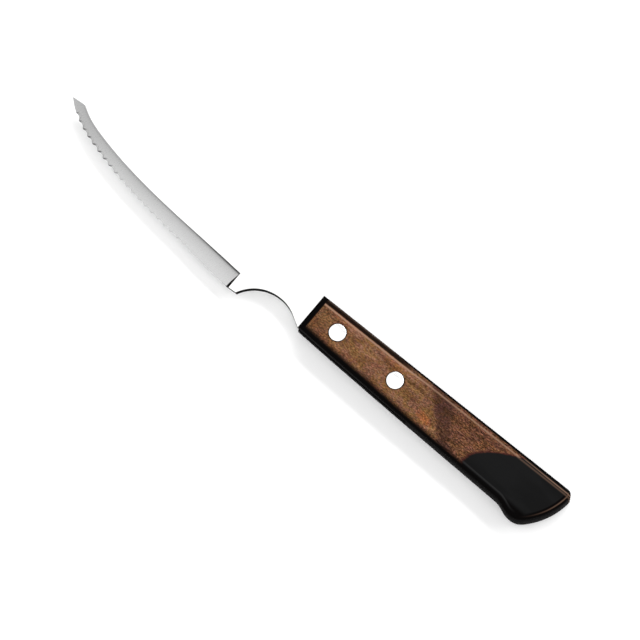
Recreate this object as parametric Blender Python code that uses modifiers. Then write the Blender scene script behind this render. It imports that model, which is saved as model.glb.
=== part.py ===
"""Table steak knife: a hollow-ground, scalloped blade riveted into a slotted wooden handle.

Every outline is drawn in one plan. x runs from the tip (negative) past the handle's front face (zero)
to the butt (positive), y is zero on the spine line and negative towards the cutting edge, and z is
zero at the middle of the blade's thickness. One empty then carries all pieces, so that the knife
lies on the lower face of its handle with the centre of its footprint at the origin.
"""

import math

import bmesh
import bpy
from mathutils import Vector

# Blade blank (metres)
STOCK_THICKNESS = 0.0015
BLADE_LENGTH = 0.1069
SPINE_SLOPE = 0.0085
SPINE_TIP_SLOPE = 0.060
TIP_DROP = 0.0006
HEEL_DEPTH = 0.0179
RICASSO_LENGTH = 0.0035
RICASSO_RISE = 0.0003

# Neck and finger choil in front of the handle
NECK_DEPTH = 0.0100
NECK_RUN = 0.0042
NECK_CORNER_RISE = 0.0002
CHOIL_RADIUS = 0.0136

# Cutting edge, as the line through the points of its teeth
EDGE_THICKNESS = 0.00015
TIP_EDGE_SLOPE = -0.95
BELLY_SETBACK = 0.0140
BELLY_DEPTH = 0.0084
BELLY_SLOPE = -0.30
HEEL_EDGE_SLOPE = -0.115

# Hollow grind on both sides and the plunge wall where it stops
BEVEL_WIDTH_TIP = 0.0033
BEVEL_WIDTH_HEEL = 0.0063
BEVEL_WIDENING = 0.85
GRINDING_WHEEL_RADIUS = 0.0400
PLUNGE_RUN = 0.0010

# Scallops, ground from the upper side only
SCALLOP_PITCH = 0.0030
SCALLOP_DEPTH = 0.0008
SCALLOP_LAND = 0.0001
SCALLOP_GRIND_ANGLE = math.radians(25.0)
PLAIN_TIP_RUN = 0.0054
PLAIN_HEEL_RUN = 0.0142

# Tang
TANG_TOP_INSET = 0.0008
TANG_BOTTOM_INSET = 0.0011
TANG_BEYOND_RIVET = 0.0106
TANG_CORNER_RADIUS = 0.0025

# Handle
HANDLE_LENGTH = 0.1043
HANDLE_THICKNESS = 0.0100
HANDLE_DEPTH_FRONT = 0.0135
HANDLE_DEPTH_REAR = 0.0168
HANDLE_TOP_SETBACK = 0.00055
HANDLE_TOP_RISE = 0.00045
BELLY_LINE_FRONT_SLOPE = -0.050
BELLY_LINE_REAR_SLOPE = -0.028
BUTT_RADIUS = 0.0242
BUTT_SWEEP = math.radians(45.0)
BEAK_SETBACK = 0.0117
BEAK_LEAD = 0.0071
BEAK_DROP = 0.0019
CHAMFER_WIDTH = 0.00185
CHAMFER_DROP = 0.00095
BUTT_INNER_RADIUS = 0.0002
ARRIS_RADIUS = 0.0003

# Two-part rivets
FRONT_RIVET_X = 0.0113
RIVET_SPACING = 0.0246
RIVET_HEAD_DIAMETER = 0.00575
RIVET_HEAD_THICKNESS = 0.0012
RIVET_HEAD_RECESS = 0.00005
RIVET_EDGE_BREAK = 0.00012
BARREL_DIAMETER = 0.0040
PIN_DIAMETER = 0.0022
PIN_LENGTH = 0.0060
PIN_TIP_BREAK = 0.0003

# Clearances
SLOT_CLEARANCE = 0.0003
SLOT_END_CLEARANCE = 0.0010
SHOULDER_CLEARANCE = 0.0003
RIVET_CLEARANCE = 0.0003
SAW_RADIUS = 0.0450

# Fineness of the curves
STRAIGHT_STEPS = 12
CURVE_STEPS = 28
TIP_STEPS = 12
ARC_STEPS = 18
BEAK_STEPS = 7
HOLLOW_STEPS = 8
ROUND_STEPS = 40
CORNER_STEPS = 5

# How far a cutter runs past what it cuts
OVERRUN = 0.0020


def clear_scene():
    for item in list(bpy.data.objects):
        bpy.data.objects.remove(item, do_unlink=True)


def new_collection(name):
    collection = bpy.data.collections.new(name)
    bpy.context.scene.collection.children.link(collection)
    return collection


def new_material(name, colour, metallic, roughness):
    material = bpy.data.materials.new(name)
    material.use_nodes = True
    shader = material.node_tree.nodes["Principled BSDF"]
    shader.inputs["Base Color"].default_value = (*colour, 1.0)
    shader.inputs["Metallic"].default_value = metallic
    shader.inputs["Roughness"].default_value = roughness
    return material


# Plan geometry


def run_height(run, x):
    """Height at x of a cubic run, given as its two ends and its slope at each end."""
    (x0, y0), (x1, y1), slope0, slope1 = run
    width = x1 - x0
    t = (x - x0) / width
    blend = t * t * (3.0 - 2.0 * t)
    leaving = width * slope0 * t * (1.0 - t) ** 2
    arriving = width * slope1 * t * t * (t - 1.0)
    return y0 + (y1 - y0) * blend + leaving + arriving


def run_slope(run, x):
    step = 1e-6
    return (run_height(run, x + step) - run_height(run, x - step)) / (2.0 * step)


def run_points(run, steps):
    """Points along a run from its first end to its last."""
    x0 = run[0][0]
    x1 = run[1][0]
    xs = [x0 + (x1 - x0) * index / steps for index in range(steps + 1)]
    return [Vector((x, run_height(run, x))) for x in xs]


def arc_points(centre, radius, start, end, steps):
    angles = [start + (end - start) * index / steps for index in range(steps + 1)]
    return [centre + radius * Vector((math.cos(angle), math.sin(angle))) for angle in angles]


def joined(*stretches):
    """One outline from several stretches, with the points that they share kept once."""
    outline = []
    for stretch in stretches:
        for point in stretch:
            if not outline or (point - outline[-1]).length > 1e-6:
                outline.append(point)
    if (outline[0] - outline[-1]).length < 1e-6:
        outline.pop()
    return outline


def handle_top(x):
    return -HANDLE_TOP_SETBACK + HANDLE_TOP_RISE * x / HANDLE_LENGTH


def handle_bottom_run():
    """The underside of the handle, from its front to where the beak begins."""
    lead_x = HANDLE_LENGTH - BEAK_SETBACK - BEAK_LEAD
    front = (0.0, handle_top(0.0) - HANDLE_DEPTH_FRONT)
    lead = (lead_x, handle_top(lead_x) - HANDLE_DEPTH_REAR)
    return (front, lead, BELLY_LINE_FRONT_SLOPE, BELLY_LINE_REAR_SLOPE)


def rivet_centre(x):
    """The middle of the handle's width at x."""
    return Vector((x, (handle_top(x) + run_height(handle_bottom_run(), x)) / 2.0))


def rivet_places():
    return {
        "front_rivet": rivet_centre(FRONT_RIVET_X),
        "rear_rivet": rivet_centre(FRONT_RIVET_X + RIVET_SPACING),
    }


def tip_point():
    return Vector((-BLADE_LENGTH, -TIP_DROP))


def neck_corner():
    """Where the neck's underside meets the handle's front, just above the handle's lower corner."""
    height = handle_top(0.0) - HANDLE_DEPTH_FRONT + NECK_CORNER_RISE
    return Vector((-SHOULDER_CLEARANCE, height))


def choil_centre():
    """Centre of the choil's arc, which a straight run of NECK_RUN joins to the neck's corner."""
    corner = neck_corner()
    rise = -corner.y - NECK_DEPTH
    reach = math.sqrt(NECK_RUN ** 2 + rise * (2.0 * CHOIL_RADIUS - rise))
    return Vector((corner.x - reach, -NECK_DEPTH - CHOIL_RADIUS))


def choil_points():
    centre = choil_centre()
    towards_corner = neck_corner() - centre
    start = math.atan2(towards_corner.y, towards_corner.x) + math.atan2(NECK_RUN, CHOIL_RADIUS)
    end = math.pi - math.asin((RICASSO_RISE - HEEL_DEPTH - centre.y) / CHOIL_RADIUS)
    return arc_points(centre, CHOIL_RADIUS, start, end, ARC_STEPS)


def plunge_x():
    """Where the grind stops on the flat of the blade."""
    return choil_points()[-1].x - RICASSO_LENGTH


def heel_point():
    return Vector((plunge_x() - PLUNGE_RUN, -HEEL_DEPTH))


def edge_runs():
    """The edge in two runs: the steep one behind the tip, and the long one to the heel."""
    tip = tip_point()
    belly = (tip.x + BELLY_SETBACK, -BELLY_DEPTH)
    near_tip = (tuple(tip), belly, TIP_EDGE_SLOPE, BELLY_SLOPE)
    to_heel = (belly, tuple(heel_point()), BELLY_SLOPE, HEEL_EDGE_SLOPE)
    return near_tip, to_heel


def edge_points():
    near_tip, to_heel = edge_runs()
    return joined(run_points(near_tip, TIP_STEPS), run_points(to_heel, CURVE_STEPS))


def edge_slope(x):
    near_tip, to_heel = edge_runs()
    run = near_tip if x < near_tip[1][0] else to_heel
    return run_slope(run, x)


def inward_normal(slope):
    """Unit vector from the edge towards the spine."""
    return Vector((-slope, 1.0)).normalized()


def spine_points():
    shoulder = (-SHOULDER_CLEARANCE, 0.0)
    run = (tuple(tip_point()), shoulder, SPINE_TIP_SLOPE, -SPINE_SLOPE)
    return run_points(run, CURVE_STEPS)


def tang_end_x():
    return FRONT_RIVET_X + RIVET_SPACING + TANG_BEYOND_RIVET


def tang_points():
    """The tang from its upper shoulder round its far end to its lower shoulder."""
    top = handle_top(0.0) - TANG_TOP_INSET
    bottom = handle_top(0.0) - HANDLE_DEPTH_FRONT + TANG_BOTTOM_INSET
    inner_x = tang_end_x() - TANG_CORNER_RADIUS
    upper_centre = Vector((inner_x, top - TANG_CORNER_RADIUS))
    lower_centre = Vector((inner_x, bottom + TANG_CORNER_RADIUS))
    right = math.pi / 2.0
    upper = arc_points(upper_centre, TANG_CORNER_RADIUS, right, 0.0, CORNER_STEPS)
    lower = arc_points(lower_centre, TANG_CORNER_RADIUS, 0.0, -right, CORNER_STEPS)
    upper_root = Vector((-SHOULDER_CLEARANCE, top))
    lower_root = Vector((-SHOULDER_CLEARANCE, bottom))
    return [upper_root, *upper, *lower, lower_root]


def blank_outline():
    """The stamped blade: spine, tang, neck, choil, ricasso and edge, back to the tip."""
    return joined(
        spine_points(),
        tang_points(),
        [neck_corner()],
        choil_points(),
        [heel_point()],
        list(reversed(edge_points())),
    )


def butt_points():
    """The rounded upper corner of the butt and the long arc below it.

    The corner's radius leaves BUTT_INNER_RADIUS on the broad face, inside the chamfer.
    """
    radius = CHAMFER_WIDTH + BUTT_INNER_RADIUS
    corner = Vector((HANDLE_LENGTH - radius, handle_top(HANDLE_LENGTH - radius) - radius))
    reach = math.sqrt((BUTT_RADIUS - radius) ** 2 - corner.y ** 2)
    centre = Vector((corner.x - reach, 0.0))
    meeting = math.atan2(corner.y, reach)
    rounded = arc_points(corner, radius, math.pi / 2.0, meeting, CORNER_STEPS)
    butt = arc_points(centre, BUTT_RADIUS, meeting, -BUTT_SWEEP, ARC_STEPS)
    return joined(rounded, butt)


def handle_outline():
    """The handle: top line, butt, beak and underside, back to the front."""
    bottom = handle_bottom_run()
    lead = Vector(bottom[1])
    butt = butt_points()
    beak = Vector((HANDLE_LENGTH - BEAK_SETBACK, lead.y - BEAK_DROP))
    toe = (tuple(beak), tuple(butt[-1]), 0.0, 1.0 / math.tan(BUTT_SWEEP))
    throat = (tuple(lead), tuple(beak), BELLY_LINE_REAR_SLOPE, 0.0)
    return joined(
        [Vector((0.0, handle_top(0.0)))],
        butt,
        list(reversed(run_points(toe, BEAK_STEPS))),
        list(reversed(run_points(throat, BEAK_STEPS))),
        list(reversed(run_points(bottom, STRAIGHT_STEPS))),
    )


def slot_outline():
    """The saw cut: past both narrow sides, with the saw's own arc at its inner end."""
    top = OVERRUN
    bottom = min(point.y for point in handle_outline()) - OVERRUN
    middle = (handle_top(0.0) * 2.0 - HANDLE_DEPTH_FRONT) / 2.0
    centre = Vector((tang_end_x() + SLOT_END_CLEARANCE - SAW_RADIUS, middle))
    start = math.asin((top - middle) / SAW_RADIUS)
    end = math.asin((bottom - middle) / SAW_RADIUS)
    inner_end = arc_points(centre, SAW_RADIUS, start, end, ARC_STEPS)
    return joined([Vector((-OVERRUN, top))], inner_end, [Vector((-OVERRUN, bottom))])


# Solids


def place_object(name, mesh, collection, material):
    item = bpy.data.objects.new(name, mesh)
    collection.objects.link(item)
    if material:
        mesh.materials.append(material)
    return item


def plate_from_outline(name, outline, thickness, collection, material):
    """A flat plate: the outline as a filled curve with depth, made a welded mesh."""
    curve = bpy.data.curves.new(name, "CURVE")
    curve.dimensions = "2D"
    curve.fill_mode = "BOTH"
    curve.extrude = thickness / 2.0
    spline = curve.splines.new("POLY")
    spline.points.add(len(outline) - 1)
    for knot, point in zip(spline.points, outline):
        knot.co = (point.x, point.y, 0.0, 1.0)
    spline.use_cyclic_u = True
    drawn = bpy.data.objects.new(name + "_outline", curve)
    collection.objects.link(drawn)
    evaluated = drawn.evaluated_get(bpy.context.evaluated_depsgraph_get())
    mesh = bpy.data.meshes.new_from_object(evaluated)
    item = place_object(name, mesh, collection, material)
    item.matrix_world = drawn.matrix_world
    bpy.data.objects.remove(drawn, do_unlink=True)
    bpy.data.curves.remove(curve)
    body = bmesh.new()
    body.from_mesh(mesh)
    bmesh.ops.remove_doubles(body, verts=body.verts, dist=1e-7)
    for side in (1.0, -1.0):
        cap = [face for face in body.faces if face.normal.z * side > 0.9]
        bmesh.ops.dissolve_faces(body, faces=cap)
    bmesh.ops.recalc_face_normals(body, faces=body.faces)
    body.to_mesh(mesh)
    body.free()
    return item


def turned(name, profile, collection, material):
    """A turned piece: its profile, top to bottom, spun about Z with a Screw modifier."""
    mesh = bpy.data.meshes.new(name)
    edges = [(index, index + 1) for index in range(len(profile) - 1)]
    mesh.from_pydata([(radius, 0.0, height) for radius, height in profile], edges, [])
    item = place_object(name, mesh, collection, material)
    screw = item.modifiers.new("turning", "SCREW")
    screw.axis = "Z"
    screw.angle = 2.0 * math.pi
    screw.steps = ROUND_STEPS
    screw.render_steps = ROUND_STEPS
    screw.use_merge_vertices = True
    screw.merge_threshold = 0.00001
    return item


def as_cutter(item):
    item.hide_render = True
    item.display_type = "WIRE"
    return item


def cut(item, name, cutter):
    boolean = item.modifiers.new(name, "BOOLEAN")
    boolean.operation = "DIFFERENCE"
    boolean.solver = "EXACT"
    boolean.object = cutter


def shade_by_angle(item, degrees):
    item.data.shade_smooth()
    item.data.set_sharp_from_angle(angle=math.radians(degrees))


# Blade


def bevel_width(station_x):
    """Width of the ground bevel, which grows from the tip to the heel, and faster near the tip."""
    share = max(0.0, (station_x + BLADE_LENGTH) / (heel_point().x + BLADE_LENGTH))
    return BEVEL_WIDTH_TIP + (BEVEL_WIDTH_HEEL - BEVEL_WIDTH_TIP) * share ** BEVEL_WIDENING


def grind_section(width):
    """Section of the grind as (distance in from the edge, height above the middle plane).

    The ground face is hollow: it dips under the straight line from edge to flat as far as the
    grinding wheel's radius makes it.
    """
    half_edge = EDGE_THICKNESS / 2.0
    half_stock = STOCK_THICKNESS / 2.0
    hollow_depth = width ** 2 / (8.0 * GRINDING_WHEEL_RADIUS)
    ground = [(-OVERRUN, half_edge)]
    for index in range(HOLLOW_STEPS + 1):
        share = index / HOLLOW_STEPS
        hollow = 4.0 * hollow_depth * share * (1.0 - share)
        ground.append((width * share, half_edge + (half_stock - half_edge) * share - hollow))
    exit_slope = (half_stock - half_edge + 4.0 * hollow_depth) / width
    exit_run = OVERRUN / 2.0
    ground.append((width + exit_run, half_stock + exit_slope * exit_run))
    roof = half_stock + OVERRUN
    return [*ground, (width + exit_run, roof), (-OVERRUN, roof)]


def grind_stations():
    """Edge points with their inward normals, from ahead of the tip to just before the heel."""
    points = edge_points()[:-1]
    stations = [(point, inward_normal(edge_slope(point.x))) for point in points]
    tip, tip_normal = stations[0]
    ahead = Vector((-tip_normal.y, tip_normal.x)) * OVERRUN * 2.0
    return [(tip + ahead, tip_normal), *stations]


def add_grind_cutter(name, side, collection):
    """The space the grinding wheel clears on one side, lofted along the edge to the plunge wall."""
    body = bmesh.new()
    rings = []
    for point, normal in grind_stations():
        ring = []
        for inward, height in grind_section(bevel_width(point.x)):
            place = point + normal * inward
            ring.append(body.verts.new((place.x, place.y, side * height)))
        rings.append(ring)
    heel = heel_point()
    heel_normal = inward_normal(HEEL_EDGE_SLOPE)
    half_stock = STOCK_THICKNESS / 2.0
    wall_lean = PLUNGE_RUN / (half_stock - EDGE_THICKNESS / 2.0)
    last_ring = []
    for inward, height in grind_section(BEVEL_WIDTH_HEEL):
        x = plunge_x() - wall_lean * (half_stock - height)
        y = heel.y + heel_normal.y * inward
        last_ring.append(body.verts.new((x, y, side * height)))
    rings.append(last_ring)
    count = len(last_ring)
    for ring, following in zip(rings, rings[1:]):
        for index in range(count):
            beside = (index + 1) % count
            body.faces.new((ring[index], ring[beside], following[beside], following[index]))
    body.faces.new(rings[0])
    body.faces.new(rings[-1])
    bmesh.ops.recalc_face_normals(body, faces=body.faces)
    mesh = bpy.data.meshes.new(name)
    body.to_mesh(mesh)
    body.free()
    return as_cutter(place_object(name, mesh, collection, None))


def scallop_places():
    """Middle of each scallop on the edge line, with the edge's slope there."""
    points = edge_points()
    lengths = [(after - before).length for before, after in zip(points, points[1:])]
    toothed = sum(lengths) - PLAIN_TIP_RUN - PLAIN_HEEL_RUN
    count = max(1, int(toothed / SCALLOP_PITCH))
    places = []
    for index in range(count):
        remaining = PLAIN_TIP_RUN + (index + 0.5) * SCALLOP_PITCH
        segment = 0
        while remaining > lengths[segment]:
            remaining -= lengths[segment]
            segment += 1
        point = points[segment].lerp(points[segment + 1], remaining / lengths[segment])
        places.append((point, edge_slope(point.x)))
    return places


def add_scallop_cutters(collection):
    """Leaning wheels that each grind one scallop, in through the upper side of the edge."""
    half_chord = (SCALLOP_PITCH - SCALLOP_LAND) / 2.0
    sunk = SCALLOP_DEPTH * math.sin(SCALLOP_GRIND_ANGLE)
    wheel_radius = (half_chord ** 2 + sunk ** 2) / (2.0 * sunk)
    reach = wheel_radius / math.sin(SCALLOP_GRIND_ANGLE)
    length = 2.0 * (reach + STOCK_THICKNESS)
    for index, (point, slope) in enumerate(scallop_places()):
        name = "scallop_cutter_%02d" % (index + 1)
        mesh = bpy.data.meshes.new(name)
        body = bmesh.new()
        bmesh.ops.create_cone(
            body,
            cap_ends=True,
            segments=ROUND_STEPS,
            radius1=wheel_radius,
            radius2=wheel_radius,
            depth=length,
        )
        body.to_mesh(mesh)
        body.free()
        cutter = as_cutter(place_object(name, mesh, collection, None))
        normal = inward_normal(slope)
        centre = point + normal * (SCALLOP_DEPTH - reach)
        outward = Vector((-normal.x, -normal.y, 0.0))
        axis = outward * math.cos(SCALLOP_GRIND_ANGLE) - Vector((0.0, 0.0, math.sin(SCALLOP_GRIND_ANGLE)))
        cutter.location = (centre.x, centre.y, 0.0)
        cutter.rotation_mode = "QUATERNION"
        cutter.rotation_quaternion = axis.to_track_quat("Z", "Y")


def add_tang_hole_cutter(name, centre, collection):
    radius = BARREL_DIAMETER / 2.0 + RIVET_CLEARANCE
    half = STOCK_THICKNESS
    profile = [(0.0, half), (radius, half), (radius, -half), (0.0, -half)]
    cutter = as_cutter(turned(name, profile, collection, None))
    cutter.location = (centre.x, centre.y, 0.0)
    return cutter


def add_blade(parts, cutters, scallops, steel):
    blade = plate_from_outline("blade", blank_outline(), STOCK_THICKNESS, parts, steel)
    cut(blade, "upper_grind", add_grind_cutter("upper_grind_cutter", 1.0, cutters))
    cut(blade, "lower_grind", add_grind_cutter("lower_grind_cutter", -1.0, cutters))
    add_scallop_cutters(scallops)
    toothing = blade.modifiers.new("scallops", "BOOLEAN")
    toothing.operation = "DIFFERENCE"
    toothing.solver = "EXACT"
    toothing.operand_type = "COLLECTION"
    toothing.collection = scallops
    for name, centre in rivet_places().items():
        cut(blade, name + "_hole", add_tang_hole_cutter(name + "_tang_cutter", centre, cutters))
    shade_by_angle(blade, 12.0)
    return blade


# Handle


def chamfer_faces(mesh):
    """Slope the rim of both broad faces: each face is inset, and its rim dropped."""
    body = bmesh.new()
    body.from_mesh(mesh)
    for side in (1.0, -1.0):
        broad = [face for face in body.faces if face.normal.z * side > 0.9]
        bmesh.ops.inset_region(
            body,
            faces=broad,
            thickness=CHAMFER_WIDTH,
            depth=CHAMFER_DROP,
            use_even_offset=True,
        )
    body.to_mesh(mesh)
    body.free()


def rivet_head_height():
    """Height of a rivet head's outer face above the middle plane."""
    return HANDLE_THICKNESS / 2.0 - RIVET_HEAD_RECESS


def add_rivet_seat_cutter(name, centre, collection):
    """A through hole for the barrel, with a counterbore for a head at each end."""
    outside = HANDLE_THICKNESS / 2.0 + OVERRUN
    floor = rivet_head_height() - RIVET_HEAD_THICKNESS - RIVET_CLEARANCE
    head = RIVET_HEAD_DIAMETER / 2.0 + RIVET_CLEARANCE
    barrel = BARREL_DIAMETER / 2.0 + RIVET_CLEARANCE
    upper = [(0.0, outside), (head, outside), (head, floor), (barrel, floor)]
    lower = [(radius, -height) for radius, height in reversed(upper)]
    cutter = as_cutter(turned(name, upper + lower, collection, None))
    cutter.location = (centre.x, centre.y, 0.0)
    return cutter


def add_handle(parts, cutters, wood):
    wall_height = HANDLE_THICKNESS - 2.0 * CHAMFER_DROP
    handle = plate_from_outline("handle", handle_outline(), wall_height, parts, wood)
    chamfer_faces(handle.data)
    arris = handle.modifiers.new("arris", "BEVEL")
    arris.width = ARRIS_RADIUS
    arris.segments = 2
    arris.limit_method = "ANGLE"
    arris.angle_limit = math.radians(20.0)
    slot_height = STOCK_THICKNESS + 2.0 * SLOT_CLEARANCE
    slot = plate_from_outline("slot_cutter", slot_outline(), slot_height, cutters, None)
    cut(handle, "slot", as_cutter(slot))
    for name, centre in rivet_places().items():
        cut(handle, name + "_seat", add_rivet_seat_cutter(name + "_seat_cutter", centre, cutters))
    shade_by_angle(handle, 20.0)
    return handle


# Rivets


def stud_profile():
    """Headed solid pin, head up."""
    top = rivet_head_height()
    head = RIVET_HEAD_DIAMETER / 2.0
    under = top - RIVET_HEAD_THICKNESS
    pin = PIN_DIAMETER / 2.0
    end = under - PIN_LENGTH
    return [
        (0.0, top),
        (head - RIVET_EDGE_BREAK, top),
        (head, top - RIVET_EDGE_BREAK),
        (head, under),
        (pin, under),
        (pin, end + PIN_TIP_BREAK),
        (pin - PIN_TIP_BREAK, end),
        (0.0, end),
    ]


def sleeve_profile():
    """Headed barrel with a blind bore for the pin, head down."""
    bottom = -rivet_head_height()
    head = RIVET_HEAD_DIAMETER / 2.0
    shelf = bottom + RIVET_HEAD_THICKNESS
    mouth = -shelf - RIVET_CLEARANCE
    barrel = BARREL_DIAMETER / 2.0
    bore = PIN_DIAMETER / 2.0 + RIVET_CLEARANCE
    return [
        (0.0, shelf),
        (bore, shelf),
        (bore, mouth),
        (barrel, mouth),
        (barrel, shelf),
        (head, shelf),
        (head, bottom + RIVET_EDGE_BREAK),
        (head - RIVET_EDGE_BREAK, bottom),
        (0.0, bottom),
    ]


def add_rivets(parts, aluminium):
    pieces = []
    for name, centre in rivet_places().items():
        stud = turned(name + "_stud", stud_profile(), parts, aluminium)
        sleeve = turned(name + "_sleeve", sleeve_profile(), parts, aluminium)
        for piece in (stud, sleeve):
            piece.location = (centre.x, centre.y, 0.0)
            shade_by_angle(piece, 30.0)
            pieces.append(piece)
    return pieces


# Assembly


def world_corners(items):
    """Lowest and highest corner of the finished pieces together."""
    bpy.context.view_layer.update()
    depsgraph = bpy.context.evaluated_depsgraph_get()
    places = []
    for item in items:
        evaluated = item.evaluated_get(depsgraph)
        matrix = evaluated.matrix_world
        places.extend(matrix @ vert.co for vert in evaluated.data.vertices)
    low = Vector([min(place[axis] for place in places) for axis in range(3)])
    high = Vector([max(place[axis] for place in places) for axis in range(3)])
    return low, high


def main():
    clear_scene()
    parts = new_collection("steak_knife")
    cutters = new_collection("cutters")
    scallops = new_collection("scallop_cutters")
    steel = new_material("satin_steel", (0.62, 0.62, 0.60), 1.0, 0.28)
    wood = new_material("treated_wood", (0.20, 0.085, 0.045), 0.0, 0.42)
    aluminium = new_material("rivet_aluminium", (0.86, 0.86, 0.87), 1.0, 0.30)
    blade = add_blade(parts, cutters, scallops, steel)
    handle = add_handle(parts, cutters, wood)
    pieces = [blade, handle, *add_rivets(parts, aluminium)]

    low, high = world_corners(pieces)
    knife = bpy.data.objects.new("knife_frame", None)
    parts.objects.link(knife)
    for item in [*pieces, *cutters.objects, *scallops.objects]:
        item.parent = knife
    middle = (low + high) / 2.0
    knife.location = (-middle.x, -middle.y, -low.z)


main()
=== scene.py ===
"""Finished steak knife: ground blade, resin-treated wooden handle and bright rivets on a pale floor."""

from functools import partialmethod
from math import cos, radians, sin

import bpy
from bpy.props import FloatProperty, FloatVectorProperty, IntProperty, PointerProperty
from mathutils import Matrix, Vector


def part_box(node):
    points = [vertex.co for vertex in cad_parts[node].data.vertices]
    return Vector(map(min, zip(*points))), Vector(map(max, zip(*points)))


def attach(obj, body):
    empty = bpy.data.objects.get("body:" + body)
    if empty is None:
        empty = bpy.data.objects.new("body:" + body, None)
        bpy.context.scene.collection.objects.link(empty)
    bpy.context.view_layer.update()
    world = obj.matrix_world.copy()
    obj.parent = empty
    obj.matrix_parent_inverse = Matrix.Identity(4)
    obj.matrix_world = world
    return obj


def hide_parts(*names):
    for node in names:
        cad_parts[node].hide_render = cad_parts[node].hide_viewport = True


bl_info = {
    "name": "Steak Knife Finisher",
    "version": (1, 0, 0),
    "blender": (4, 5, 0),
    "location": "View3D > Sidebar > Steak Knife",
    "description": "Builds the finished surfaces of a riveted steak knife around its solid model",
    "category": "Object",
}

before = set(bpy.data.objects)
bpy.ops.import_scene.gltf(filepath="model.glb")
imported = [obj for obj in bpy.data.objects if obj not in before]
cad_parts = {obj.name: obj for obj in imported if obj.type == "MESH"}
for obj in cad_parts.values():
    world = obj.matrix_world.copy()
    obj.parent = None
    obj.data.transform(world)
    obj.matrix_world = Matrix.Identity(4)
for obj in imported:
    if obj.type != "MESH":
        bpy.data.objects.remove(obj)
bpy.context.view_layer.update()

# Places that the solid model gives
BLADE_LOW, BLADE_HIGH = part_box("blade")
HANDLE_LOW, HANDLE_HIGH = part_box("handle")
STUD_LOW, STUD_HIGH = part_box("front_rivet_stud")
SLEEVE_LOW, SLEEVE_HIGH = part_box("front_rivet_sleeve")
REAR_LOW, REAR_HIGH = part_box("rear_rivet_stud")
MIDDLE_HEIGHT = (BLADE_LOW.z + BLADE_HIGH.z) / 2.0
HALF_STOCK = (BLADE_HIGH.z - BLADE_LOW.z) / 2.0
HANDLE_THICKNESS = HANDLE_HIGH.z - HANDLE_LOW.z
FRONT_RIVET = (STUD_LOW + STUD_HIGH) / 2.0
REAR_RIVET = (REAR_LOW + REAR_HIGH) / 2.0
HEAD_RADIUS = (STUD_HIGH.x - STUD_LOW.x) / 2.0

# The handle's upper outline as y = a + b x, and its lower one as y = a + b x + c x x
UPPER_LINE = (0.00852, 0.0048)
LOWER_LINE = (-0.00482, -0.0500, 0.176)

# Vertices closer than this are one, and faces that meet at less than this angle are one
WELD = 1e-6
LEVEL = radians(0.05)

# Sides of a round cutter
CUTTER_SIDES = 96

# Where the full grind, the plunge and the ricasso start, as shares of the way from X = 0 to the tip
GRIND_SHARE = 0.275
PLUNGE_SHARE = 0.238
RICASSO_SHARE = 0.2045

# Stretch of the choil along which its die roll fades, as shares of the same way
ROLL_FADE = (0.165, 0.010)

# The blade's walls above this Y are its spine
SPINE_FOOT = 0.0080

# The most Y of a wall's normal on the choil's side of the blade, and the least on the spine's
CHOIL_FACING, SPINE_FACING = -0.05, 0.2


# Settings


class BladeSettings(bpy.types.PropertyGroup):
    """Finish of the ground blade"""

    edge_break: FloatProperty(
        name="Edge Break", default=0.00007, unit="LENGTH",
        description="Width of the small bevel where the flats meet the stamped edge",
    )
    die_roll: FloatProperty(
        name="Die Roll", default=0.00058, unit="LENGTH",
        description="Rounding of the flats' rim along the choil, where the stamping die drew it down",
    )
    smooth_angle: FloatProperty(
        name="Smooth Angle", default=radians(7.0), subtype="ANGLE",
        description="Neighbouring faces that meet at less than this angle are shaded as one",
    )
    flat_colour: FloatVectorProperty(
        name="Flat Colour", default=(0.94, 0.94, 0.93), subtype="COLOR",
        description="Colour of the polished flats",
    )
    # Painted reflection: this grey, far darker than the flats of the same steel, stands in for the
    # dimmer light that the bevels reflect
    ground_colour: FloatVectorProperty(
        name="Ground Colour", default=(0.36, 0.36, 0.36), subtype="COLOR",
        description="Colour of the hollow-ground bevels along the grind line",
    )
    # Painted reflection: how much lighter the bevels are painted towards the cutting edge, where their
    # slant reflects brighter light
    edge_gain: FloatProperty(
        name="Edge Gain", default=0.55,
        description="How much brighter the bevels are ground towards the cutting edge",
    )
    # Painted reflection: this near-black stands in for the dark surroundings that the stamped walls
    # reflect
    stamped_shaded_colour: FloatVectorProperty(
        name="Stamped Colour", default=(0.014, 0.014, 0.014), subtype="COLOR",
        description="Colour of the stamped outline",
    )
    polish_lines: FloatProperty(
        name="Polish Lines", default=5200.0,
        description="Polishing lines per metre across their run",
    )


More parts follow.
